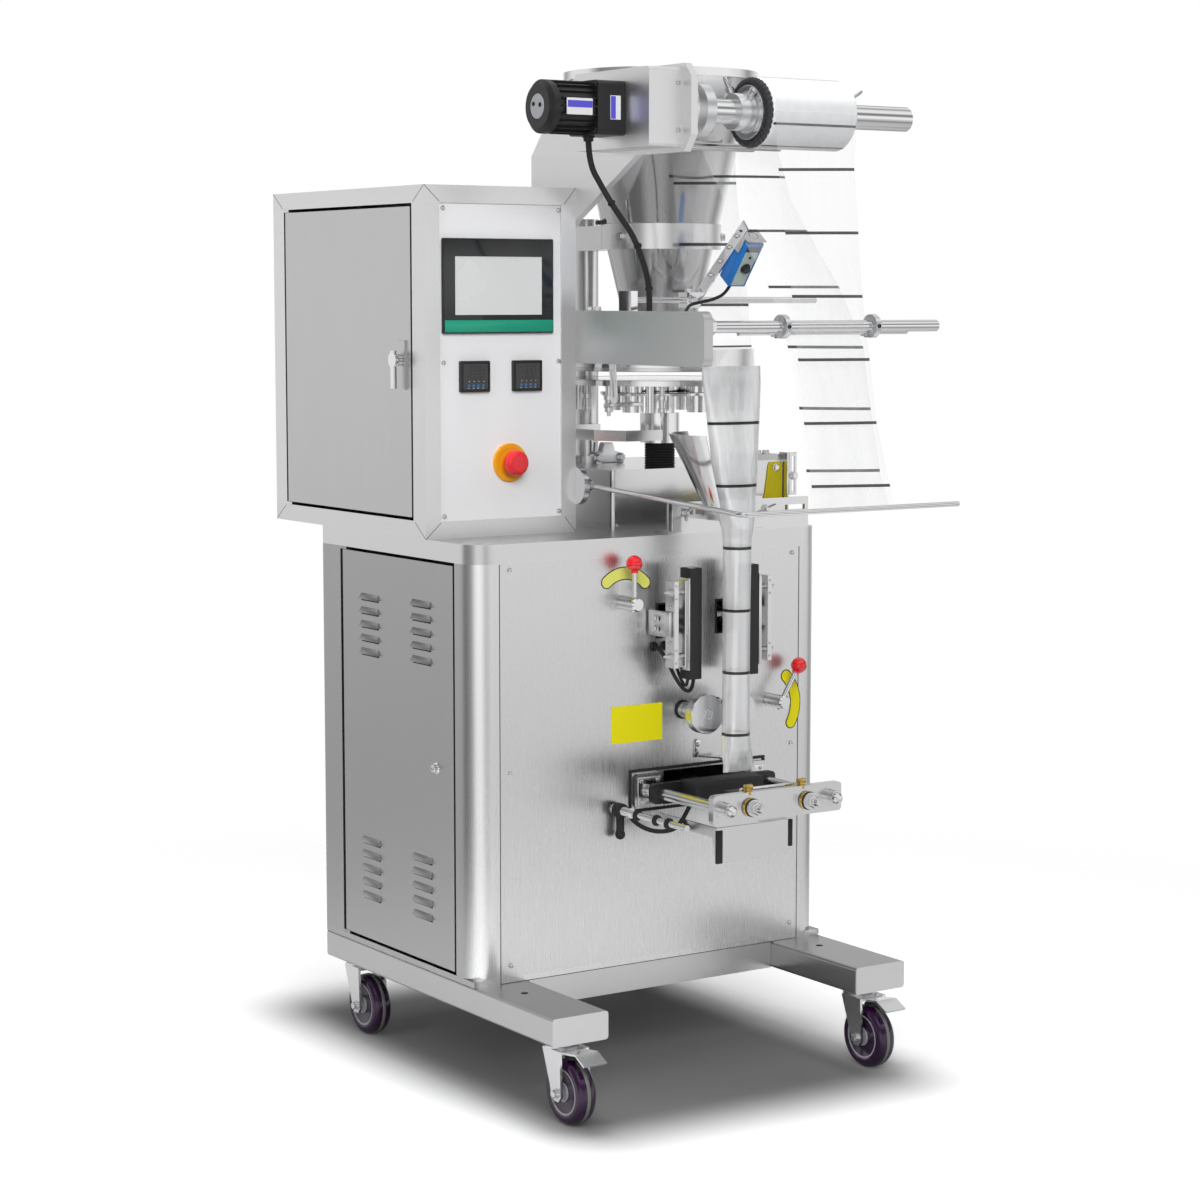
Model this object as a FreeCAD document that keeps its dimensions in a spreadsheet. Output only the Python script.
"""Granule packing machine: cabinet on casters, control box, film path and filler."""

import FreeCAD
import Part
import Sketcher

import math
import os
import re

doc = FreeCAD.newDocument("granule_packing_machine")

# Driving dimensions, all in millimetres
DIMS = {
    # row origin, measured from the cabinet's middle and the design's zero depth
    "origin_x": 20.85,
    "origin_y": -63,
    # general clearances
    "skin": 3,
    "seat_gap": 0.3,
    "door_gap": 5,
    # cabinet: X left to right, Y front to rear, Z up from the floor
    "cab_wide": 662,
    "cab_deep": 477,
    "cab_front": -240,
    "cab_top": 846,
    "floor_high": 9,
    "post_wide": 47,
    "post_deep": 54,
    "corner_round": 40,
    "lip_high": 30,
    "rear_fold": 60,
    "fold_deep": 12,
    "pin_rad": 3,
    "pin_long": 4,
    "ear_thick": 4,
    "cab_door_rear": 169,
    # feet
    "foot_wide": 98,
    "foot_long": 697,
    "foot_high": 43,
    "foot_low": 127,
    "foot_front": -460,
    "foot_round": 5,
    "beam_wide": 50,
    "level_rad": 6,
    "level_ahead": 65,
    # control box
    "box_left": -336,
    "box_wide": 274,
    "box_front": -110,
    "box_deep": 501,
    "box_high": 540,
    "box_rim": 27,
    "stile_deep": 38,
    "fascia_inset": 3,
    # operator parts on the fascia
    "screen_high": 146,
    "screen_low": 1160,
    "screen_gap": 4,
    "screen_blank": 16,
    "screen_proud": 4,
    "stop_x": -184,
    "stop_z": 960,
    "stop_rad": 20,
    "stop_stem_rad": 11,
    "collar_rad": 30,
    "collar_thick": 5,
    # door latch
    "latch_y": -40,
    "latch_z": 1120,
    # levers
    "fill_x": -60,
    "fill_z": 745,
    "pull_x": 225,
    "pull_z": 570,
    "hub_rad": 11,
    "hub_long": 44,
    "spindle_rad": 7,
    "spindle_long": 26,
    "lever_rad": 4,
    "knob_rad": 12.5,
    # film tube, sealers, pull rollers and jaws
    "tube_x": 86,
    "tube_y": -340,
    "tube_rad": 26,
    "tube_low": 480,
    "tube_neck": 850,
    "seal_z": 712,
    "seal_window": 50,
    "seal_front": -308,
    "heater_high": 173,
    "seal_plate_high": 135,
    "guide_rad": 8,
    "guide_back": 27,
    "shank_wide": 14,
    "pull_z_axis": 568,
    "pull_rad": 31,
    "pull_gap": 0.6,
    "pull_wide": 18,
    "pull_shaft_rad": 8,
    "jaw_z": 446,
    "jaw_front_y": -450,
    "jaw_rod_rad": 9,
    "jaw_rod_off": 101,
    "jaw_rod_long": 268,
    "jaw_plate_wide": 245,
    "jaw_plate_thick": 12,
    "jaw_plate_high": 45,
    "jaw_rear_y": -325,
    "jaw_window_wide": 136,
    "jaw_window_high": 54,
    "chute_wide": 144,
    "chute_front": -390,
    "chute_top": 405,
    "chute_low": 350,
    # film roll and its drive
    "plate_thick": 12,
    "roll_y": -360,
    "roll_z": 1494.5,
    "shaft_rad": 19,
    "shaft_end": 396,
    "roll_rad": 54,
    "roll_left": 97,
    "film_wide": 160,
    "drive_deep": 200,
    "drive_high": 116,
    "gearhead": 80,
    "motor_y": -300,
    "can_rad": 36,
    "fin_high": 3.5,
    # guide beam, rods and sensor
    "beam_thick": 16,
    "beam_end": -457,
    "beam_low": 1113,
    "beam_high": 82,
    "rail_y": -445,
    "rail_z": 1172,
    "rail_rad": 9,
    "rail_end": 392,
    "rail_thin_left": 20,
    "rail_thin_end": 345,
    "rail_thin_rad": 4,
    "top_rod_end": 324,
    "wire_end": 386,
    "turn_rad": 4.5,
    "turn_end": 194,
    "turn_front_y": -300,
    "turn_front_z": 1446,
    "turn_rear_y": -231,
    "turn_rear_z": 1448,
    "top_rod_y": -225,
    "top_rod_z": 1211.5,
    "top_rod_rad": 5,
    "wire_rad": 4,
    "wire_y": -511,
    "wire_z": 897,
    # filler
    "filler_x": 112,
    "filler_y": -92,
    "rim_rad": 154,
    "rim_z": 1571,
    "hopper_low": 1134,
    "neck_rad": 52,
    "sheet": 2,
    "ring_share": 0.361556,
    "ring_high": 40,
    "ring_wall": 3.18,
    "column_off": 24,
    "column_y": 88,
    "column_rad": 20,
    "pan_rad": 152,
    "pan_low": 1100,
    "disc_rad": 150,
    "disc_low": 1078,
    "disc_thick": 8,
    "cup_rad": 17,
    "cup_ring": 74,
    "spigot_rad": 32,
    "spigot_low": 982.3,
    "bellows_rad": 25,
    "bellows_high": 40,
    "shroud_left": -3,
    "shroud_wide": 300,
    "shroud_front": -125,
    "shroud_deep": 290,
    "shroud_high": 96,
    "cover_in": 103,
    "cover_wide": 52,
    "former_ahead": 59,
    "former_in": 29,
    "former_slot": 40,
    "former_fold": 40,
    "former_high": 50,
    "former_thick": 6,
    "tray_arm_y": 52,
    "tray_arm_thick": 8,
    "tray_low": 990,
    "tray_high": 17,
    # casters
    "tyre_rad": 50,
    "tyre_wide": 32,
    "tyre_round": 8,
    "caster_trail": 24,
    "caster_front_in": 50,
    "caster_rear_in": 32,
    "plate_high": 5,
    "race_high": 14,
    "cheek_thick": 4,
    "axle_rad": 6,
}

# Levels and lines that follow from the driving dimensions
HALF = "(cab_wide / 2)"
CAB_LOW = "(foot_low + foot_high)"
DECK = "(foot_low + foot_high + floor_high)"
BRIM = "(cab_top - lip_high)"
REAR = "(cab_front + cab_deep)"
PANEL_BACK = "(cab_front + skin)"
BOX_RIGHT = "(box_left + box_wide)"
BOX_TOP = "(cab_top + box_high)"
BOX_REAR = "(box_front + box_deep)"
BOX_DECK = "(cab_top + box_rim)"
BOX_BRIM = "(cab_top + box_high - box_rim)"
BOX_CLEAR = "(box_high - 2 * box_rim)"
FASCIA_FRONT = "(box_front + fascia_inset)"
FOOT_LINE = "((cab_wide - foot_wide) / 2)"
PLATE_RIGHT = "(box_left + box_wide + plate_thick)"
BEAM_RIGHT = "(box_left + box_wide + beam_thick)"
SCREEN_WIDE = "(box_wide - 2 * box_rim - screen_gap - screen_blank)"
RING_LOW = "(hopper_low + ring_share * (rim_z - hopper_low))"
SHROUD_TOP = "(cab_top + shroud_high)"
COLUMN_X = "(filler_x - column_off)"
ROLLER_OFF = "(pull_rad + pull_gap / 2)"

sheet = doc.addObject("Spreadsheet::Sheet", "Dims")
for row, (alias, value) in enumerate(DIMS.items(), start=1):
    sheet.set("A%d" % row, alias)
    sheet.set("B%d" % row, str(value))
    sheet.setAlias("B%d" % row, alias)
doc.recompute()

NODES = []


def formula(text):
    """Prefix each spreadsheet alias in an expression with the sheet's name."""
    def swap(match):
        word = match.group(0)
        return "Dims." + word if word in DIMS else word
    return re.sub(r"[a-z_]+", swap, text)


def size(alias):
    """The sheet's value of an alias, for the few shapes that are computed."""
    return float(sheet.get(alias))


def bind(obj, sizes):
    for prop, value in sizes.items():
        if isinstance(value, str):
            obj.setExpression(prop, formula(value))
        else:
            setattr(obj, prop, value)


def put(obj, at=(0, 0, 0), turn=None):
    """Place an object; at may hold expressions, turn is (axis, degrees)."""
    rotation = FreeCAD.Rotation()
    if turn:
        rotation = FreeCAD.Rotation(FreeCAD.Vector(*turn[0]), turn[1])
    base = [0.0 if isinstance(v, str) else v for v in at]
    obj.Placement = FreeCAD.Placement(FreeCAD.Vector(*base), rotation)
    for axis, value in zip("xyz", at):
        if isinstance(value, str):
            obj.setExpression("Placement.Base." + axis, formula(value))
    return obj


ALONG = {
    "+X": ((0, 1, 0), 90),
    "-X": ((0, 1, 0), -90),
    "+Y": ((1, 0, 0), -90),
    "-Y": ((1, 0, 0), 90),
    "+Z": None,
}


def block(name, lengths, at, turn=None):
    obj = doc.addObject("Part::Box", name)
    bind(obj, dict(zip(("Length", "Width", "Height"), lengths)))
    return put(obj, at, turn)


def rod(name, radius, length, at, along="+Z"):
    obj = doc.addObject("Part::Cylinder", name)
    bind(obj, {"Radius": radius, "Height": length})
    return put(obj, at, ALONG[along])


def cone(name, low, high, length, at, along="+Z"):
    obj = doc.addObject("Part::Cone", name)
    bind(obj, {"Radius1": low, "Radius2": high, "Height": length})
    return put(obj, at, ALONG[along])


def fuse(name, shapes):
    obj = doc.addObject("Part::MultiFuse", name)
    obj.Shapes = shapes
    obj.Refine = True
    return obj


def cut(name, base, tools):
    tool = tools[0] if len(tools) == 1 else fuse(name + "_tools", tools)
    obj = doc.addObject("Part::Cut", name)
    obj.Base = base
    obj.Tool = tool
    obj.Refine = True
    return obj


def common(name, base, tool):
    obj = doc.addObject("Part::Common", name)
    obj.Base = base
    obj.Tool = tool
    return obj


def corner_edges(shape, axis, corners):
    """Numbers of the straight edges along an axis at the given corners of the bounds.

    A corner is a pair of signs for the two other axes; None takes either side.
    """
    low = shape.BoundBox
    bounds = ((low.XMin, low.XMax), (low.YMin, low.YMax), (low.ZMin, low.ZMax))
    others = [i for i in range(3) if i != axis]
    found = []
    for number, edge in enumerate(shape.Edges, start=1):
        ends = [v.Point for v in edge.Vertexes]
        if len(ends) < 2 or any(abs(ends[0][i] - ends[1][i]) > 1e-6 for i in others):
            continue
        for signs in corners:
            hits = [sign is None or abs(ends[0][i] - bounds[i][sign > 0]) < 1e-6
                    for i, sign in zip(others, signs)]
            if all(hits):
                found.append(number)
                break
    return found


def round_corners(name, base, radius, axis, corners):
    """Fillet the edges of base along an axis at some corners of its bounds."""
    doc.recompute()
    obj = doc.addObject("Part::Fillet", name)
    obj.Base = base
    obj.Edges = [(i, radius, radius) for i in corner_edges(base.Shape, axis, corners)]
    return obj


ALL_CORNERS = ((-1, -1), (-1, 1), (1, -1), (1, 1))


def pan(name, lengths, at, open_sides, rounds=()):
    """A folded sheet tray: a block less an inner block that leaves by its open sides."""
    outer = block(name + "_outer", lengths, at)
    inner_lengths = []
    inner_at = []
    for axis, length, start in zip("xyz", lengths, at):
        low_step = -1 if "-" + axis in open_sides else 1
        high_step = -1 if "+" + axis in open_sides else 1
        inner_lengths.append("(%s) - (%d) * skin" % (length, low_step + high_step))
        inner_at.append("(%s) + (%d) * skin" % (start, low_step))
    inner = block(name + "_inner", inner_lengths, inner_at)
    if rounds:
        outer = round_corners(name + "_outer_round", outer, size("corner_round"), 2, rounds)
        inner = round_corners(name + "_inner_round", inner, size("corner_round") - size("skin"),
                              2, rounds)
    return cut(name, outer, [inner])


def draw(sketch, points):
    """Draw a closed outline and tie each corner to its two coordinates."""
    count = len(points)
    ring = [FreeCAD.Vector(math.cos(2 * math.pi * i / count), math.sin(2 * math.pi * i / count), 0)
            for i in range(count)]
    for i in range(count):
        sketch.addGeometry(Part.LineSegment(ring[i] * 100, ring[(i + 1) % count] * 100), False)
    for i in range(count):
        sketch.addConstraint(Sketcher.Constraint("Coincident", i, 2, (i + 1) % count, 1))
    for i, pair in enumerate(points):
        for kind, value, start in zip(("DistanceX", "DistanceY"), pair, ring[i] * 100):
            if isinstance(value, str):
                place = sketch.addConstraint(Sketcher.Constraint(kind, -1, 1, i, 1, start))
                sketch.setExpression("Constraints[%d]" % place, formula(value))
            else:
                sketch.addConstraint(Sketcher.Constraint(kind, -1, 1, i, 1, value))


def sketched(name, plane, points):
    """A PartDesign body with one outline sketched on an origin plane."""
    body = doc.addObject("PartDesign::Body", name)
    sketch = body.newObject("Sketcher::SketchObject", name + "_outline")
    origin = [f for f in body.Origin.OriginFeatures if f.Role == plane][0]
    sketch.AttachmentSupport = [(origin, "")]
    sketch.MapMode = "FlatFace"
    draw(sketch, points)
    return body, sketch


def padded(name, plane, points, length, at=(0, 0, 0)):
    """A body padded from an outline along its plane's normal."""
    body, sketch = sketched(name, plane, points)
    pad = body.newObject("PartDesign::Pad", name + "_pad")
    pad.Profile = sketch
    bind(pad, {"Length": length})
    doc.recompute()
    return put(body, at)


def turned(name, points, at=(0, 0, 0), along="+Z", angle=360, start=0):
    """A body of revolution; points are (radius, distance along the axis)."""
    body, sketch = sketched(name, "XZ_Plane", points)
    turn = body.newObject("PartDesign::Revolution", name + "_turn")
    turn.Profile = sketch
    turn.ReferenceAxis = (sketch, ["V_Axis"])
    turn.Angle = angle
    doc.recompute()
    spin = ((0, 0, 1), start) if start else ALONG[along]
    return put(body, at, spin)


def bent_path(points, radii):
    """A wire of straight runs joined by tangent arcs."""
    corners = [FreeCAD.Vector(*p) for p in points]
    edges = []
    start = corners[0]
    for i, radius in enumerate(radii, start=1):
        back = (corners[i - 1] - corners[i]).normalize()
        ahead = (corners[i + 1] - corners[i]).normalize()
        half = back.getAngle(ahead) / 2
        reach = radius / math.tan(half)
        middle = (back + ahead).normalize()
        centre = corners[i] + middle * (radius / math.sin(half))
        first = corners[i] + back * reach
        last = corners[i] + ahead * reach
        edges.append(Part.LineSegment(start, first).toShape())
        edges.append(Part.Arc(first, centre - middle * radius, last).toShape())
        start = last
    edges.append(Part.LineSegment(start, corners[-1]).toShape())
    return Part.Wire(edges)


def round_bar(name, points, radii, radius):
    """A bar or cable of one section along a bent path."""
    path = bent_path(points, radii)
    first = path.Edges[0]
    circle = Part.Circle(FreeCAD.Vector(*points[0]), first.tangentAt(first.FirstParameter), radius)
    section = Part.Wire([circle.toShape()])
    obj = doc.addObject("Part::Feature", name)
    obj.Shape = path.makePipeShell([section], True, False)
    return obj


def cable_radii(points):
    """The bend radius at each inner point: as large as its two runs allow."""
    corners = [FreeCAD.Vector(*p) for p in points]
    radii = []
    for i in range(1, len(corners) - 1):
        back = corners[i] - corners[i - 1]
        ahead = corners[i + 1] - corners[i]
        shorter = min(back.Length, ahead.Length)
        radii.append(0.45 * shorter / math.tan(back.getAngle(ahead) / 2))
    return radii


def node(label, obj):
    """Keep an object as a sub-part of the machine, under its own file's name."""
    obj.Label = label
    NODES.append((label, obj))
    return obj


# Base frame: two long feet and two cross beams, with a levelling hole in each foot
base_bars = []
for side, start in ((-1, "-" + HALF), (1, HALF + " - foot_wide")):
    bar = block("foot_bar", ("foot_wide", "foot_long", "foot_high"), (start, "foot_front", "foot_low"))
    base_bars.append(round_corners("foot_round", bar, size("foot_round"), 1, ALL_CORNERS))
for start in ("cab_front", "foot_front + foot_long - beam_wide"):
    base_bars.append(block("cross_beam", ("cab_wide - 2 * foot_wide", "beam_wide", "foot_high"),
                           ("foot_wide - " + HALF, start, "foot_low")))
level_holes = [rod("level_hole", "level_rad", "foot_high + 20",
                   ("%d * %s" % (side, FOOT_LINE), "cab_front - level_ahead", "foot_low - 10"))
               for side in (-1, 1)]
node("base_frame", cut("base", fuse("base_tubes", base_bars), level_holes))

# Cabinet: floor, folded top, rounded corner posts and one wall bent round the right and rear
node("cabinet_floor", block("deck", ("cab_wide", "cab_deep", "floor_high"),
                            ("-" + HALF, "cab_front", CAB_LOW)))
node("cabinet_top", pan("top", ("cab_wide", "cab_deep", "lip_high"), ("-" + HALF, "cab_front", BRIM),
                        ("-z",), ((-1, -1), (1, -1))))
WALL_HIGH = "(cab_top - lip_high - foot_low - foot_high - floor_high)"
posts = [
    pan("left_post", ("post_wide", "post_deep", WALL_HIGH), ("-" + HALF, "cab_front", DECK),
        ("+x", "+y", "+z", "-z"), ((-1, -1),)),
    pan("right_post", ("post_wide", "post_deep", WALL_HIGH),
        (HALF + " - post_wide", "cab_front", DECK), ("-x", "+y", "+z", "-z"), ((1, -1),)),
]
node("corner_posts", fuse("both_posts", posts))

walls = padded("wall_bend", "XY_Plane", [
    (HALF, "cab_front + post_deep"),
    (HALF, REAR),
    ("-" + HALF, REAR),
    ("-" + HALF, REAR + " - rear_fold"),
    ("skin - " + HALF, REAR + " - rear_fold"),
    ("skin - " + HALF, REAR + " - skin"),
    (HALF + " - skin", REAR + " - skin"),
    (HALF + " - skin", "cab_front + post_deep"),
], WALL_HIGH, (0, 0, DECK))
CAB_DOOR_LOW = "(%s + door_gap)" % DECK
CAB_DOOR_HIGH = "(%s - 2 * door_gap)" % WALL_HIGH
CAB_DOOR_FRONT = "(cab_front + post_deep + door_gap)"
CAB_PIN_X = "(fold_deep / 2 - %s)" % HALF
CAB_PIN_Y = "(cab_door_rear - fold_deep / 2)"
ears = []
for level in ("%s + seat_gap" % DECK, "%s - ear_thick - seat_gap" % BRIM):
    ear = block("hinge_ear", ("fold_deep", "%s - rear_fold - %s + 2 * pin_rad" % (REAR, CAB_PIN_Y), "ear_thick"),
                ("-" + HALF, CAB_PIN_Y + " - 2 * pin_rad", level))
    bore = rod("ear_bore", "pin_rad + seat_gap", "ear_thick + 4", (CAB_PIN_X, CAB_PIN_Y, level + " - 2"))
    ears.append(cut("ear", ear, [bore]))
node("cabinet_walls", fuse("walls_with_ears", [walls] + ears))

# Front panel with its windows, square rod flanges, roller bearings and the sealers' guide bar
panel = block("panel_sheet", ("cab_wide - 2 * post_wide", "skin", WALL_HIGH),
              ("post_wide - " + HALF, "cab_front", DECK))
fittings = []
holes = [block("jaw_window", ("jaw_window_wide", 40, "jaw_window_high"),
               ("tube_x - jaw_window_wide / 2", "cab_front - 20", "jaw_z - jaw_window_high / 2"))]
for side in (-1, 1):
    rod_x = "tube_x + %d * jaw_rod_off" % side
    flange = block("rod_flange", ("jaw_window_high", 8, "jaw_window_high"),
                   (rod_x + " - jaw_window_high / 2", "cab_front - 8", "jaw_z - jaw_window_high / 2"))
    fittings.append(round_corners("flange_round", flange, 6, 1, ALL_CORNERS))
    fittings.append(rod("rod_bush", "1.7 * jaw_rod_rad", 42, (rod_x, "cab_front", "jaw_z"), "+Y"))
    holes.append(rod("rod_bore", "jaw_rod_rad + seat_gap", 80, (rod_x, "cab_front - 20", "jaw_z"), "+Y"))
    roller_x = "tube_x + %d * %s" % (side, ROLLER_OFF)
    fittings.append(rod("roller_bush", "1.6 * pull_shaft_rad", 50,
                        (roller_x, "cab_front - 8", "pull_z_axis"), "+Y"))
    holes.append(rod("roller_bore", "pull_shaft_rad + seat_gap", 80,
                     (roller_x, "cab_front - 20", "pull_z_axis"), "+Y"))
    holes.append(block("seal_window", (46, 40, "seal_window"),
                       ("tube_x + %d * 57 - 23" % side, "cab_front - 20", "seal_z - seal_window / 2")))
    fittings.append(block("guide_hanger", (14, "guide_back + guide_rad + 2", 24),
                          ("tube_x + %d * 125 - 7" % side, "cab_front", "seal_z - 12")))
for x, z in (("fill_x", "fill_z"), ("pull_x", "pull_z")):
    holes.append(rod("lever_bore", "spindle_rad + seat_gap", 40, (x, "cab_front - 20", z), "+Y"))
plain_panel = cut("panel_holed", fuse("panel_solid", [panel] + fittings), holes)
guide_bar = rod("guide_bar", "guide_rad", 240, ("tube_x - 120", "cab_front + guide_back", "seal_z"), "+X")
node("front_panel", fuse("panel", [plain_panel, guide_bar]))


def hinged_door(name, lengths, at, pin_x, pin_y):
    """A pan door with a short pivot pin on the top and the bottom of its hinge edge."""
    tray = pan(name + "_tray", lengths, at, ("+x",))
    low = "(%s)" % at[2]
    high = "(%s + %s)" % (at[2], lengths[2])
    pins = [
        rod(name + "_pin_low", "pin_rad", "pin_long + 2", (pin_x, pin_y, low + " - pin_long")),
        rod(name + "_pin_high", "pin_rad", "pin_long + 2", (pin_x, pin_y, high + " - 2")),
    ]
    return fuse(name, [tray] + pins)


node("side_door", hinged_door("cab_door", ("fold_deep", "cab_door_rear - " + CAB_DOOR_FRONT, CAB_DOOR_HIGH),
                              ("-" + HALF, CAB_DOOR_FRONT, CAB_DOOR_LOW), CAB_PIN_X, CAB_PIN_Y))

# Control box: folded floor and roof, stiles, one wall bent round the right and rear, and the fascia
node("control_box_floor", pan("box_floor", ("box_wide", "box_deep", "box_rim"),
                              ("box_left", "box_front", "cab_top"), ("+z",)))
node("control_box_roof", pan("box_roof", ("box_wide", "box_deep", "box_rim"),
                             ("box_left", "box_front", BOX_BRIM), ("-z",)))
box_walls = padded("box_walls", "XY_Plane", [
    (BOX_RIGHT, "box_front"),
    (BOX_RIGHT, BOX_REAR),
    ("box_left", BOX_REAR),
    ("box_left", BOX_REAR + " - stile_deep"),
    ("box_left + skin", BOX_REAR + " - stile_deep"),
    ("box_left + skin", BOX_REAR + " - skin"),
    (BOX_RIGHT + " - skin", BOX_REAR + " - skin"),
    (BOX_RIGHT + " - skin", "box_front + skin"),
    (BOX_RIGHT + " - box_rim", "box_front + skin"),
    (BOX_RIGHT + " - box_rim", "box_front"),
], BOX_CLEAR, (0, 0, BOX_DECK))
node("control_box_stile", padded("box_stile", "XY_Plane", [
    ("box_left", "box_front"),
    ("box_left + box_rim", "box_front"),
    ("box_left + box_rim", "box_front + skin"),
    ("box_left + skin", "box_front + skin"),
    ("box_left + skin", "box_front + stile_deep"),
    ("box_left", "box_front + stile_deep"),
], BOX_CLEAR, (0, 0, BOX_DECK)))
stop_bore = rod("stop_bore", "stop_stem_rad + seat_gap", 20, ("stop_x", "box_front - 8", "stop_z"), "+Y")
fascia = block("fascia_sheet", ("box_wide - 2 * box_rim", "skin", BOX_CLEAR),
               ("box_left + box_rim", FASCIA_FRONT, BOX_DECK))
fascia_fold = block("fascia_fold", ("box_wide - 2 * skin", "skin", BOX_CLEAR),
                    ("box_left + skin", FASCIA_FRONT, BOX_DECK))
node("control_box_fascia", cut("fascia", fuse("fascia_both", [fascia, fascia_fold]), [stop_bore]))
BOX_DOOR_LOW = "(%s + door_gap)" % BOX_DECK
BOX_DOOR_HIGH = "(%s - 2 * door_gap)" % BOX_CLEAR
BOX_DOOR_FRONT = "(box_front + stile_deep + door_gap)"
BOX_DOOR_DEEP = "(box_deep - 2 * stile_deep - 2 * door_gap)"
BOX_PIN_X = "(box_left + fold_deep / 2)"
BOX_PIN_Y = "(box_front + box_deep - stile_deep - door_gap - fold_deep / 2)"
box_door = hinged_door("box_door", ("fold_deep", BOX_DOOR_DEEP, BOX_DOOR_HIGH),
                       ("box_left", BOX_DOOR_FRONT, BOX_DOOR_LOW), BOX_PIN_X, BOX_PIN_Y)
latch_plate = block("latch_plate", ("skin", 26, 76), ("box_left - skin", "latch_y - 13", "latch_z - 46"))
node("control_box_door", fuse("box_door_latched", [box_door, latch_plate]))
box_ears = []
for level in ("%s + seat_gap" % BOX_DECK, "%s - ear_thick - seat_gap" % BOX_BRIM):
    ear = block("box_ear", ("fold_deep", "door_gap + fold_deep / 2 + 2 * pin_rad + skin", "ear_thick"),
                ("box_left", BOX_PIN_Y + " - 2 * pin_rad", level))
    bore = rod("box_ear_bore", "pin_rad + seat_gap", "ear_thick + 4", (BOX_PIN_X, BOX_PIN_Y, level + " - 2"))
    box_ears.append(cut("box_ear_bored", ear, [bore]))
node("control_box_walls", fuse("box_walls_with_ears", [box_walls] + box_ears))

# Touch screen, stop button with its collar, and the latch of the box door
screen = block("screen_block", (SCREEN_WIDE, "screen_proud", "screen_high"),
               ("box_left + box_rim + screen_gap", FASCIA_FRONT + " - screen_proud", "screen_low"))
node("touch_screen", round_corners("screen", screen, 4, 1, ALL_CORNERS))
STOP_OUT = "(collar_thick + 26)"
node("stop_button", turned("stop", [
    (0, 0),
    ("0.8 * stop_rad", 1),
    ("stop_rad", 5),
    ("stop_rad", 12),
    ("0.75 * stop_rad", 15),
    ("stop_stem_rad", 15),
    ("stop_stem_rad", STOP_OUT + " + 3"),
    (0, STOP_OUT + " + 3"),
], ("stop_x", FASCIA_FRONT + " - " + STOP_OUT, "stop_z"), "+Y"))
collar = rod("collar_disc", "collar_rad", "collar_thick",
             ("stop_x", FASCIA_FRONT + " - collar_thick", "stop_z"), "+Y")
collar_bore = rod("collar_bore", "stop_stem_rad + seat_gap", 20, ("stop_x", "box_front - 12", "stop_z"), "+Y")
node("stop_collar", cut("collar", collar, [collar_bore]))
latch_boss = turned("latch_boss", [
    (0, 0),
    (9, 0),
    (9, 8),
    (12, 10),
    (12, 15),
    (0, 15),
], ("box_left - skin - seat_gap", "latch_y", "latch_z"), "-X")
latch_wing = block("latch_wing", (5, 10, 58), ("box_left - skin - 15", "latch_y - 5", "latch_z - 44"))
node("box_latch", fuse("latch_whole", [latch_boss, latch_wing]))

# Levers: a turned hub and spindle, a slanting arm and a ball knob
HUB_BACK = "(cab_front - seat_gap)"
BALL = (
    (0, -1.0),
    (0.62, -0.78),
    (0.92, -0.38),
    (1.0, 0.0),
    (0.92, 0.38),
    (0.62, 0.78),
    (0, 1.0),
)


def lever(label, hub_x, hub_z, lean, reach):
    """A lever whose arm leans by an angle from upright, with its knob at a reach."""
    turned_hub = turned(label + "_hub", [
        (0, 0),
        ("hub_rad - 2", 0),
        ("hub_rad", 2),
        ("hub_rad", "hub_long"),
        ("spindle_rad", "hub_long"),
        ("spindle_rad", "hub_long + spindle_long"),
        (0, "hub_long + spindle_long"),
    ], (hub_x, HUB_BACK + " - hub_long", hub_z), "+Y")
    step = (math.sin(math.radians(lean)), math.cos(math.radians(lean)))
    arm = rod(label + "_arm", "lever_rad", reach, (hub_x, HUB_BACK + " - hub_long + 12", hub_z))
    arm.Placement = FreeCAD.Placement(arm.Placement.Base, FreeCAD.Rotation(FreeCAD.Vector(0, 1, 0), lean))
    knob = turned(label + "_knob", [("%r * knob_rad" % r, "%r * knob_rad" % z) for r, z in BALL],
                  ("%s + %r * %d" % (hub_x, step[0], reach), HUB_BACK + " - hub_long + 12",
                   "%s + %r * %d" % (hub_z, step[1], reach)), "+Y")
    node(label, fuse(label + "_whole", [turned_hub, arm, knob]))


lever("fill_lever", "fill_x", "fill_z", 0, 63)
lever("pull_lever", "pull_x", "pull_z", 32.3, 67)


# Vertical sealers: heater, clamp plates and a shank that rides on the guide bar
def beside(side, near, far):
    """The low X of a block between two distances from the film tube, and its width."""
    inner = near if side > 0 else far
    return "tube_x + %d * (%s)" % (side, inner), "(%s) - (%s)" % (far, near)


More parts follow.
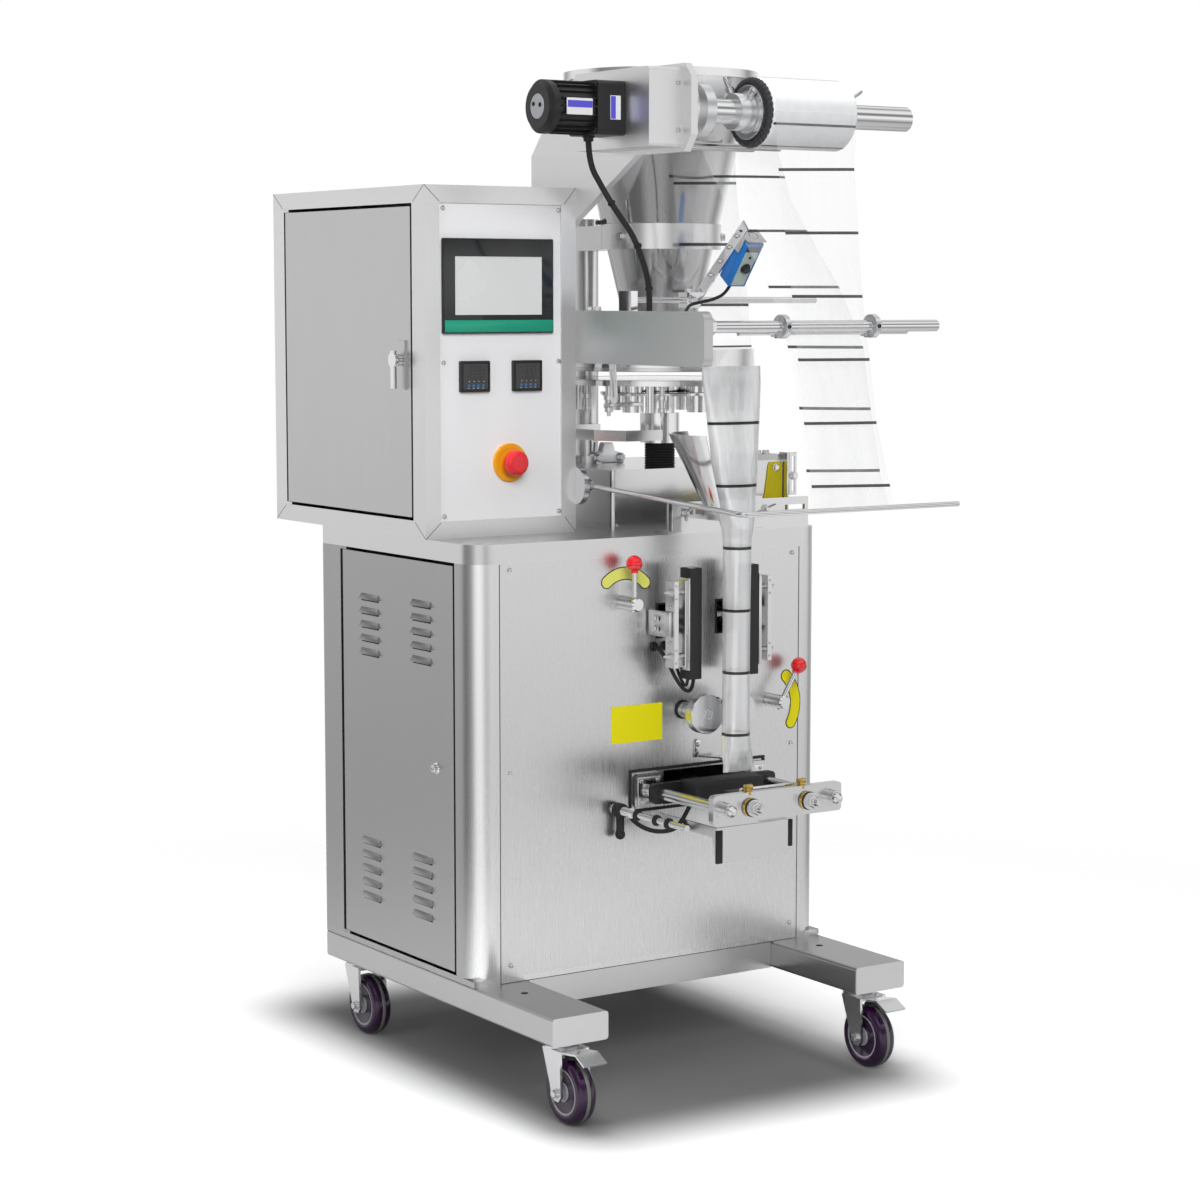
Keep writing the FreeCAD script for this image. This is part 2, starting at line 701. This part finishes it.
for side, label in ((-1, "vertical_sealer_left"), (1, "vertical_sealer_right")):
    heat_x, heat_w = beside(side, "tube_rad - 4 + 22", "tube_rad - 4 + 44")
    inner_x, inner_w = beside(side, "tube_rad + 40", "tube_rad + 48")
    outer_x, outer_w = beside(side, "tube_rad + 60", "tube_rad + 68")
    shank_x, shank_w = beside(side, "tube_rad + 31", "tube_rad + 31 + shank_wide")
    stud_x, stud_w = beside(side, "tube_rad + 36", "tube_rad + 72")
    parts = [
        block(label + "_heater", (heat_w, 26, "heater_high"),
              (heat_x, "seal_front", "seal_z - heater_high / 2")),
        block(label + "_inner", (inner_w, 24, "seal_plate_high"),
              (inner_x, "seal_front + 2", "seal_z - seal_plate_high / 2")),
        block(label + "_outer", (outer_w, 24, "seal_plate_high"),
              (outer_x, "seal_front + 2", "seal_z - seal_plate_high / 2")),
        block(label + "_shank", (shank_w, "cab_front + guide_back + 15 - seal_front", 30),
              (shank_x, "seal_front", "seal_z - 15")),
    ]
    for level in (-50, 50):
        parts.append(rod(label + "_stud", 4, stud_w, (stud_x, "seal_front + 14", "seal_z + %d" % level), "+X"))
    slide_bore = rod(label + "_bore", "guide_rad + seat_gap", "shank_wide + 20",
                     (shank_x + " - 10", "cab_front + guide_back", "seal_z"), "+X")
    node(label, cut(label + "_bored", fuse(label + "_whole", parts), [slide_bore]))

# Pull rollers on their shafts
for side, label in ((-1, "pull_roller_left"), (1, "pull_roller_right")):
    node(label, turned(label + "_turned", [
        (0, 0),
        ("pull_rad - 3", 0),
        ("pull_rad", 2),
        ("pull_rad", "pull_wide - 2"),
        ("pull_rad - 3", "pull_wide"),
        ("pull_shaft_rad", "pull_wide"),
        ("pull_shaft_rad", "pull_wide + 88"),
        (0, "pull_wide + 88"),
    ], ("tube_x + %d * %s" % (side, ROLLER_OFF), "seal_front", "pull_z_axis"), "+Y"))

# Horizontal jaws: the front one pulls its two rods, the rear one slides on them
plate = block("jaw_plate", ("jaw_plate_wide", "jaw_plate_thick", "jaw_plate_high"),
              ("tube_x - jaw_plate_wide / 2", "jaw_front_y", "jaw_z - jaw_plate_high / 2"))
jaw_parts = [
    round_corners("jaw_plate_round", plate, 6, 1, ALL_CORNERS),
    block("jaw_block", ("2 * jaw_rod_off - 82", 46, 34),
          ("tube_x - jaw_rod_off + 41", "jaw_front_y + jaw_plate_thick", "jaw_z - 17")),
]
for side in (-1, 1):
    jaw_parts.append(turned("jaw_rod", [
        (0, -25),
        (5, -24),
        (8.5, -20),
        (9.5, -14),
        (12, -14),
        (12, 0),
        ("jaw_rod_rad", 0),
        ("jaw_rod_rad", "jaw_rod_long"),
        (0, "jaw_rod_long"),
    ], ("tube_x + %d * jaw_rod_off" % side, "jaw_front_y", "jaw_z"), "+Y"))
node("jaw_front", fuse("jaw_front_whole", jaw_parts))
cross = block("jaw_cross", ("2 * jaw_rod_off + 4 * jaw_rod_rad", 12, 32),
              ("tube_x - jaw_rod_off - 2 * jaw_rod_rad", "jaw_rear_y + 40", "jaw_z - 16"))
rear_parts = [
    round_corners("jaw_cross_round", cross, 8, 1, ALL_CORNERS),
    block("jaw_rear_block", (130, 42, 38), ("tube_x - 65", "jaw_rear_y", "jaw_z - 19")),
    rod("jaw_push_rod", 10, 130, ("tube_x", "jaw_rear_y + 40", "jaw_z"), "+Y"),
]
rear_bores = [rod("jaw_rear_bore", "jaw_rod_rad + seat_gap", 40,
                  ("tube_x + %d * jaw_rod_off" % side, "jaw_rear_y + 30", "jaw_z"), "+Y") for side in (-1, 1)]
node("jaw_rear", cut("jaw_rear_bored", fuse("jaw_rear_whole", rear_parts), rear_bores))

# Bag chute: a bent apron whose two arms are cut to a slope back to the panel
chute_frame = pan("chute_bend", ("chute_wide", "cab_front - chute_front", "chute_top - chute_low"),
                  ("tube_x - chute_wide / 2", "chute_front", "chute_low"), ("+y", "+z", "-z"))
chute_side = padded("chute_side", "YZ_Plane", [
    ("chute_front", "chute_low"),
    ("chute_front + 4", "chute_low"),
    ("chute_front + 12", "chute_top - 16"),
    ("cab_front", "chute_top - 16"),
    ("cab_front", "chute_top"),
    ("chute_front", "chute_top"),
], "chute_wide", ("tube_x - chute_wide / 2", 0, 0))
node("bag_chute", common("chute", chute_frame, chute_side))
node("side_rod", turned("side_rod_turned", [
    (0, 0),
    (5, 0),
    (5, 150),
    (8, 150),
    (8, 195),
    (0, 195),
], ("tube_x - 160", "cab_front - 195", "jaw_z - 25"), "+Y"))

# Film wrapped into a tube: a loft from the flat strand to the round neck, and the straight tube below
def oval(half_wide, half_deep, x, y, z):
    """A level ellipse round the film; equal halves make a circle."""
    middle = FreeCAD.Vector(x, y, z)
    if half_wide == half_deep:
        curve = Part.Circle(middle, FreeCAD.Vector(0, 0, 1), half_wide)
    else:
        curve = Part.Ellipse(middle, half_wide, half_deep)
    return Part.Wire([curve.toShape()])


tube_x = size("tube_x")
tube_y = size("tube_y")
neck = size("tube_neck")
tube_rad = size("tube_rad")
stations = [
    oval(tube_rad, tube_rad, tube_x, tube_y, size("tube_low")),
    oval(tube_rad, tube_rad, tube_x, tube_y, neck),
    oval(tube_rad * 1.55, tube_rad * 0.85, tube_x + 3, tube_y + 10, neck + 90),
    oval(tube_rad * 2.1, tube_rad * 0.5, tube_x + 7, tube_y + 25, neck + 240),
    oval(tube_rad * 2.15, tube_rad * 0.4, tube_x + 6, tube_y + 26, neck + 260),
]
film_tube = doc.addObject("Part::Feature", "film_loft")
film_tube.Shape = Part.makeLoft(stations, True, True)
node("film_tube", film_tube)
node("film_web", padded("film_strand", "YZ_Plane", [
    ("roll_y - roll_rad - 2", "roll_z"),
    ("wire_y - wire_rad - 2", "wire_z"),
    ("wire_y - wire_rad - 1", "wire_z"),
    ("roll_y - roll_rad - 1", "roll_z"),
], "film_wide", ("roll_left", 0, 0)))

# Roll bracket, gearbox cover, motor with cooling fins, and the stepped hub
bracket = padded("bracket_plate", "YZ_Plane", [
    (20, BOX_TOP),
    (20, 1440),
    (-10, 1474),
    (-110, 1559),
    ("roll_y - 45", 1559),
    ("roll_y - 62", 1539),
    ("roll_y - 62", 1455),
    ("roll_y - 44", 1430),
    (-278, 1430),
    (-112, 1338),
    (-60, 1300),
    (20, 1300),
], "plate_thick", (BOX_RIGHT, 0, 0))
turning_bars = [
    rod("turning_bar", "turn_rad", "turn_end - %s + 2" % PLATE_RIGHT, (PLATE_RIGHT + " - 2", y, z), "+X")
    for y, z in (("turn_front_y", "turn_front_z"), ("turn_rear_y", "turn_rear_z"))
]
node("roll_bracket", fuse("bracket_with_bars", [bracket] + turning_bars))
cover = block("drive_cover", (60, "drive_deep", "drive_high"),
              (BOX_RIGHT + " - 60", "motor_y - drive_deep / 2", "roll_z - drive_high / 2"))
node("drive_box", round_corners("drive_round", cover, 5, 0, ALL_CORNERS))
motor = [
    round_corners("gearhead_round", block("gearhead_block", (50, "gearhead", "gearhead"),
                                          (BOX_RIGHT + " - 110", "motor_y - gearhead / 2",
                                           "roll_z - gearhead / 2")), 8, 0, ALL_CORNERS),
    turned("motor_can", [
        (0, 0),
        ("can_rad", 0),
        ("can_rad", 62),
        ("can_rad + fin_high", 64),
        ("can_rad + fin_high", 74),
        ("can_rad - 4", 80),
        (0, 80),
    ], (BOX_RIGHT + " - 110", "motor_y", "roll_z"), "-X"),
]
for step in range(20):
    fin = block("fin", (60, 2, "fin_high + 1"), (0, 0, 0))
    angle = 18 * step
    middle = FreeCAD.Vector(size("box_left") + size("box_wide") - 170, size("motor_y"), size("roll_z"))
    turn = FreeCAD.Rotation(FreeCAD.Vector(1, 0, 0), angle)
    offset = turn.multVec(FreeCAD.Vector(0, -1, size("can_rad") - 1))
    fin.Placement = FreeCAD.Placement(middle + offset, turn)
    motor.append(fin)
node("gear_motor", fuse("motor_whole", motor))
node("shaft_hub", turned("hub_turned", [
    ("shaft_rad + seat_gap", 0),
    ("shaft_rad + 37", 0),
    ("shaft_rad + 37", 8),
    ("shaft_rad + 32", 10),
    ("shaft_rad + 22", 34),
    ("shaft_rad + 22", 51),
    ("shaft_rad + seat_gap", 51),
], (PLATE_RIGHT, "roll_y", "roll_z"), "+X"))

# Roll shaft with its two clamping flanges, and the film roll between them
SHAFT_LONG = "(shaft_end - %s - seat_gap)" % PLATE_RIGHT
ROLL_START = "(roll_left - %s - seat_gap)" % PLATE_RIGHT
node("roll_shaft", turned("shaft_turned", [
    (0, 0),
    ("shaft_rad", 0),
    ("shaft_rad", ROLL_START + " - 40"),
    ("shaft_rad + 8", ROLL_START + " - 40"),
    ("shaft_rad + 8", ROLL_START + " - 12"),
    ("shaft_rad + 21", ROLL_START + " - 12"),
    ("shaft_rad + 21", ROLL_START),
    ("shaft_rad", ROLL_START),
    ("shaft_rad", ROLL_START + " + film_wide"),
    ("shaft_rad + 13", ROLL_START + " + film_wide"),
    ("shaft_rad + 13", ROLL_START + " + film_wide + 16"),
    ("shaft_rad", ROLL_START + " + film_wide + 16"),
    ("shaft_rad", SHAFT_LONG),
    (0, SHAFT_LONG),
], (PLATE_RIGHT + " + seat_gap", "roll_y", "roll_z"), "+X"))
node("film_roll", cut("roll", rod("roll_body", "roll_rad", "film_wide", ("roll_left", "roll_y", "roll_z"), "+X"),
                      [rod("roll_bore", "shaft_rad + seat_gap", "film_wide + 20",
                           ("roll_left - 10", "roll_y", "roll_z"), "+X")]))

# Guide beam with the rods that steer the film, the sensor's arm and the bent wire
beam = block("beam_block", ("beam_thick", "box_front - beam_end", "beam_high"),
             (BOX_RIGHT, "beam_end", "beam_low"))
beam_tail = block("beam_tail", ("beam_thick", 60, "beam_high"), (BOX_RIGHT, "box_front", "beam_low"))
node("guide_beam", fuse("beam", [round_corners("beam_round", beam, 14, 0, ((-1, -1), (-1, 1))), beam_tail]))
rail_parts = [
    rod("rail_main", "rail_rad", "rail_end - " + BEAM_RIGHT, (BEAM_RIGHT, "rail_y", "rail_z"), "+X"),
    rod("rail_thin", "rail_thin_rad", "rail_thin_end - rail_thin_left",
        ("rail_thin_left", "rail_y + 15", "rail_z - rail_rad"), "+X"),
]
for start in ("tube_x", "tube_x + 173"):
    rail_parts.append(rod("rail_collar", "rail_rad + 8", 10, (start, "rail_y", "rail_z"), "+X"))
node("guide_rail", fuse("rail_whole", rail_parts))
arm_parts = [
    rod("top_rod", "top_rod_rad", "top_rod_end - " + BEAM_RIGHT, (BEAM_RIGHT, "top_rod_y", "top_rod_z"), "+X"),
    block("arm_foot", (12, 34, "top_rod_z + 14 - beam_low - beam_high / 2"),
          (BEAM_RIGHT, "top_rod_y - 17", "beam_low + beam_high / 2")),
    block("arm_strip", (3, 18, 175), ("tube_x - 3", "top_rod_y - 9", "top_rod_z - 8"), ((1, 0, 0), 49)),
    block("arm_clamp", (26, 24, 24), ("tube_x - 23", "top_rod_y - 12", "top_rod_z - 12")),
]
node("sensor_arm", fuse("arm_whole", arm_parts))
sensor = block("sensor_block", (32, 30, 88), ("tube_x + seat_gap", "top_rod_y - 88", "top_rod_z + 20"),
               ((1, 0, 0), 38))
node("colour_sensor", sensor)
box_right = size("box_left") + size("box_wide")
knob_y = size("box_front") + 4
knob_z = size("cab_top") + 73
wire_start = (box_right + 17, knob_y - 25, knob_z)
wire_corner = (box_right + 32, size("wire_y"), size("wire_z"))
wire_end = (size("wire_end"), size("wire_y"), size("wire_z"))
wire = round_bar("wire_bar", [wire_start, wire_corner, wire_end], [14], size("wire_rad"))
wire_knob = turned("wire_knob", [
    (0, 0),
    (30, 0),
    (30, 10),
    (26, 14),
    (9, 14),
    (9, 30),
    (0, 30),
], (BOX_RIGHT, "box_front + 4", "cab_top + 73"), "+X")
node("film_guide_wire", fuse("wire_whole", [wire, wire_knob]))

# Former bracket: a slotted angle on the cabinet's top with a lug to the film tube, and the funnel
FORMER_LEFT = "(tube_x - former_ahead)"
FORMER_WIDE = "(%s - former_in - tube_x + former_ahead)" % HALF
bracket_plate = block("former_plate", (FORMER_WIDE, "former_thick", "former_high"),
                      (FORMER_LEFT, "cab_front", "cab_top"))
bracket_foot = block("former_foot", (FORMER_WIDE, "former_fold", "former_thick"),
                     (FORMER_LEFT, "cab_front", "cab_top"))
bracket_lug = block("former_lug", (20, "cab_front - tube_y - tube_rad * 1.115 - seat_gap", 22),
                    ("tube_x - 10", "tube_y + tube_rad * 1.115 + seat_gap", "cab_top + 24"))
slots = [
    block("former_slot", ("former_slot", 20, 8), (start, "cab_front - 8", "cab_top + 30"))
    for start in (FORMER_LEFT + " + 7", "%s + %s - former_slot - 7" % (FORMER_LEFT, FORMER_WIDE))
]
node("former_bracket", cut("bracket", fuse("bracket_whole", [bracket_plate, bracket_foot, bracket_lug]), slots))
node("former_funnel", turned("funnel", [
    ("tube_rad + 15", 0),
    ("tube_rad + 71", 115),
    ("tube_rad + 73", 115),
    ("tube_rad + 17", 0),
], ("tube_x", "tube_y + 14", "cab_top + 46"), "+Z", 110, 100))
belt_cover = padded("cover_profile", "YZ_Plane", [
    ("cab_front + 41", "cab_top"),
    ("cab_front + 41", "cab_top + 108"),
    ("cab_front + 50", "cab_top + 117"),
    ("shroud_front", "cab_top + 117"),
    ("shroud_front", "cab_top"),
], "cover_wide", (HALF + " - cover_in", 0, 0))
node("belt_cover", belt_cover)

# Hopper with its rolled rim, the stand that clamps it and the pan under it
node("hopper", turned("hopper_sheet", [
    ("neck_rad - sheet", "hopper_low"),
    ("neck_rad", "hopper_low"),
    ("neck_rad", "hopper_low + 16"),
    ("rim_rad - 6", "rim_z - 13"),
    ("rim_rad + 2", "rim_z - 13"),
    ("rim_rad + 2", "rim_z"),
    ("rim_rad - 2", "rim_z"),
    ("rim_rad - 8", "rim_z - 13"),
    ("neck_rad - sheet", "hopper_low + 16"),
], ("filler_x", "filler_y", 0)))
SLOPE = "((rim_rad - 6 - neck_rad) / (rim_z - 13 - hopper_low - 16))"
RING_RAD = "(neck_rad + %s * (%s + ring_high - hopper_low - 16) + ring_wall)" % (SLOPE, RING_LOW)
RING_INNER = "(neck_rad + %s * (%s - 10 - hopper_low - 16) + 1.2 * seat_gap)" % (SLOPE, RING_LOW)
ring = rod("ring_disc", RING_RAD, "ring_high", ("filler_x", "filler_y", RING_LOW))
ring_bore = cone("ring_bore", RING_INNER, "%s + %s * (ring_high + 20)" % (RING_INNER, SLOPE),
                 "ring_high + 20", ("filler_x", "filler_y", RING_LOW + " - 10"))
stand_parts = [
    ring,
    block("ring_arm", ("2 * column_rad", "column_y - filler_y - %s + 20" % RING_RAD, "ring_high"),
          (COLUMN_X + " - column_rad", "filler_y + %s - 20" % RING_RAD, RING_LOW)),
    block("pan_arm", ("1.5 * column_rad", "column_y - filler_y - pan_rad + 12", 28),
          (COLUMN_X + " - 0.75 * column_rad", "filler_y + pan_rad - 12", "pan_low + 3")),
    rod("stand_column", "column_rad", "%s + ring_high + 12 - %s" % (RING_LOW, SHROUD_TOP),
        (COLUMN_X, "column_y", SHROUD_TOP)),
    rod("stand_foot", "column_rad + 16", 12, (COLUMN_X, "column_y", SHROUD_TOP)),
]
pan_room = rod("pan_room", "pan_rad + 0.05", 60, ("filler_x", "filler_y", "pan_low - 10"))
node("hopper_stand", cut("stand", fuse("stand_whole", stand_parts), [ring_bore, pan_room]))
node("filling_pan", turned("pan_turned", [
    ("neck_rad - 3", "pan_low"),
    ("pan_rad", "pan_low"),
    ("pan_rad", "hopper_low"),
    ("neck_rad - 3", "hopper_low"),
], ("filler_x", "filler_y", 0)))

# Turntable: disc, measuring cups in a ring, rim posts and the spigot above the bellows
table_parts = [turned("table_turned", [
    (0, "spigot_low"),
    ("spigot_rad", "spigot_low"),
    ("spigot_rad", "spigot_low + 48"),
    ("spigot_rad - 8", "spigot_low + 48"),
    ("spigot_rad - 8", "disc_low"),
    ("disc_rad", "disc_low"),
    ("disc_rad", "disc_low + disc_thick"),
    (0, "disc_low + disc_thick"),
], ("filler_x", "filler_y", 0))]
for step in range(4):
    angle = math.radians(90 * step + 20)
    table_parts.append(rod("cup", "cup_rad", 46, (
        "filler_x + %r * cup_ring" % math.cos(angle),
        "filler_y + %r * cup_ring" % math.sin(angle), "disc_low - 45")))
    table_parts.append(rod("post", 6, 44, (
        "filler_x + %r * (disc_rad - 16)" % math.cos(angle + 0.5),
        "filler_y + %r * (disc_rad - 16)" % math.sin(angle + 0.5), "disc_low - 43")))
node("filler_turntable", fuse("table_whole", table_parts))

# Drive shroud with the ribbed bellows, and the bent tray beside it
bellows_points = [(0, 0), ("bellows_rad", 0)]
for rib in range(3):
    bellows_points.append(("bellows_rad - 2", "bellows_high * %r" % ((rib + 0.5) / 3)))
    bellows_points.append(("bellows_rad", "bellows_high * %r" % ((rib + 1) / 3)))
bellows_points.append((0, "bellows_high"))
shroud = block("shroud_case", ("shroud_wide", "shroud_deep", "shroud_high"),
               ("shroud_left", "shroud_front", "cab_top"))
node("drive_shroud", round_corners("shroud_round", shroud, 6, 2, ALL_CORNERS))
node("bellows", turned("bellows_turned", bellows_points, ("filler_x", "filler_y", SHROUD_TOP)))
node("filler_tray", fuse("tray_whole", [
    padded("tray_strip", "XY_Plane", [
        (BOX_RIGHT + " + 124", -172),
        (BOX_RIGHT + " + 54", -172),
        (BOX_RIGHT + " + 28", -120),
        (BOX_RIGHT + " + 28", "tray_arm_y + tray_arm_thick"),
        (BOX_RIGHT + " + 30", "tray_arm_y + tray_arm_thick"),
        (BOX_RIGHT + " + 30", -119.5),
        (BOX_RIGHT + " + 55.2", -170),
        (BOX_RIGHT + " + 124", -170),
    ], "tray_high", (0, 0, "tray_low")),
    block("tray_arm", ("%s - %s - 25" % (COLUMN_X, BOX_RIGHT), "tray_arm_thick", "tray_high"),
          (BOX_RIGHT + " + 29", "tray_arm_y", "tray_low")),
    block("tray_lug", ("tray_arm_thick", "column_y - column_rad - seat_gap - tray_arm_y", "tray_high"),
          (COLUMN_X + " - 4", "tray_arm_y", "tray_low")),
]))

# Cables of the motor and of the sensor, each from its gland to the top of the beam
beam_face = box_right + size("beam_thick")
sensor_x = size("tube_x") + 16.3
span = sensor_x - beam_face
CABLES = (
    ("motor_cable", 4.5, [
        (box_right - 98, -296, 1454.5), (box_right - 98, -296, 1416), (box_right - 88, -318, 1378),
        (box_right - 72, -333, 1342), (box_right - 46, -338, 1308), (box_right - 22, -326, 1275),
        (box_right, -309, 1248), (box_right + 8, -303, 1222), (box_right + 8, -303, 1195)]),
    ("sensor_cable", 2.5, [
        (sensor_x, -301.1, 1240.4), (sensor_x, -287, 1222.4), (sensor_x - 0.1234 * span, -276, 1212),
        (sensor_x - 0.2987 * span, -275, 1208), (sensor_x - 0.501 * span, -292, 1204),
        (sensor_x - 0.6763 * span, -322, 1197), (beam_face + 24, -345, 1188),
        (beam_face, -345, 1188)]),
)
runs = []
for label, radius, points in CABLES:
    radii = cable_radii(points)
    print(label, "radii", ["%.0f" % r for r in radii])
    runs.append(round_bar(label, points, radii, radius))
node("cables", fuse("both_cables", runs))

# Casters: swivel race and fork with a brake pedal in front, and a bored wheel
CASTERS = (
    ("front_left", "-" + FOOT_LINE, "foot_front + caster_front_in", True),
    ("front_right", FOOT_LINE, "foot_front + caster_front_in", True),
    ("rear_left", "-" + FOOT_LINE, "foot_front + foot_long - caster_rear_in", False),
    ("rear_right", FOOT_LINE, "foot_front + foot_long - caster_rear_in", False),
)
FORK_TOP = "(foot_low - race_high)"
for label, x, y, braked in CASTERS:
    fork_wide = "(tyre_wide + 12 + 2 * cheek_thick)"
    race = turned(label + "_race", [
        (0, 0),
        (16, 0),
        (24, 5),
        (24, "race_high"),
        (0, "race_high"),
    ], (x, y, FORK_TOP))
    crown = block(label + "_crown", (fork_wide, 46, 5), (x + " - %s / 2" % fork_wide, y + " - 33", FORK_TOP + " - 4"))
    parts = [race, crown]
    for start in (x + " - %s / 2" % fork_wide, x + " + %s / 2 - cheek_thick" % fork_wide):
        parts.append(padded(label + "_cheek", "YZ_Plane", [
            (14, FORK_TOP),
            (-33, FORK_TOP),
            ("-caster_trail - 12", "tyre_rad - 4"),
            ("-caster_trail - 6", "tyre_rad - 12"),
            ("-caster_trail + 6", "tyre_rad - 12"),
            ("-caster_trail + 12", "tyre_rad - 4"),
        ], "cheek_thick", (start, y, 0)))
    parts.append(rod(label + "_axle", "axle_rad", fork_wide + " + 8",
                     (x + " - %s / 2 - 4" % fork_wide, y + " - caster_trail", "tyre_rad"), "+X"))
    if braked:
        parts.append(padded(label + "_pedal", "YZ_Plane", [
            (-28, FORK_TOP + " - 1"),
            (-66, FORK_TOP + " + 4"),
            (-90, FORK_TOP + " - 8"),
            (-88, FORK_TOP + " - 11"),
            (-66, FORK_TOP + " + 1"),
            (-28, FORK_TOP + " - 4"),
        ], 40, (x + " - 20", y, 0)))
    node("caster_fork_" + label, fuse(label + "_fork", parts))
    node("caster_wheel_" + label, turned(label + "_wheel", [
        ("axle_rad + 0.05", 0),
        ("tyre_rad - tyre_round", 0),
        ("tyre_rad", "tyre_round"),
        ("tyre_rad", "tyre_wide - tyre_round"),
        ("tyre_rad - tyre_round", "tyre_wide"),
        ("axle_rad + 0.05", "tyre_wide"),
    ], (x + " - tyre_wide / 2", y + " - caster_trail", "tyre_rad"), "+X"))

# Shift every sub-part to the row's origin
doc.recompute()
for label, obj in NODES:
    bound = {path.lstrip("."): text for path, text in obj.ExpressionEngine}
    base = obj.Placement.Base
    for axis, start in zip("xy", (base.x, base.y)):
        path = "Placement.Base." + axis
        old = bound.get(path, repr(start))
        obj.setExpression(path, "(%s) - Dims.origin_%s" % (old, axis))
doc.recompute()

# Check every object, then write each sub-part
failed = [o.Name for o in doc.Objects if "Invalid" in o.State or "Error" in o.State]
if failed:
    raise RuntimeError("failed objects: " + ", ".join(failed))

os.makedirs("parts", exist_ok=True)
whole = FreeCAD.BoundBox()
for label, obj in NODES:
    shape = obj.Shape
    if shape.isNull() or not shape.isValid():
        raise RuntimeError("bad shape: " + label)
    b = shape.BoundBox
    whole.add(b)
    print("%-26s solids %d  x %7.1f %7.1f  y %7.1f %7.1f  z %7.1f %7.1f"
          % (label, len(shape.Solids), b.XMin, b.XMax, b.YMin, b.YMax, b.ZMin, b.ZMax))
    shape.exportStep(os.path.join("parts", label + ".step"))
print("whole  x %.1f %.1f  y %.1f %.1f  z %.1f %.1f"
      % (whole.XMin, whole.XMax, whole.YMin, whole.YMax, whole.ZMin, whole.ZMax))
print("nodes", len(NODES))
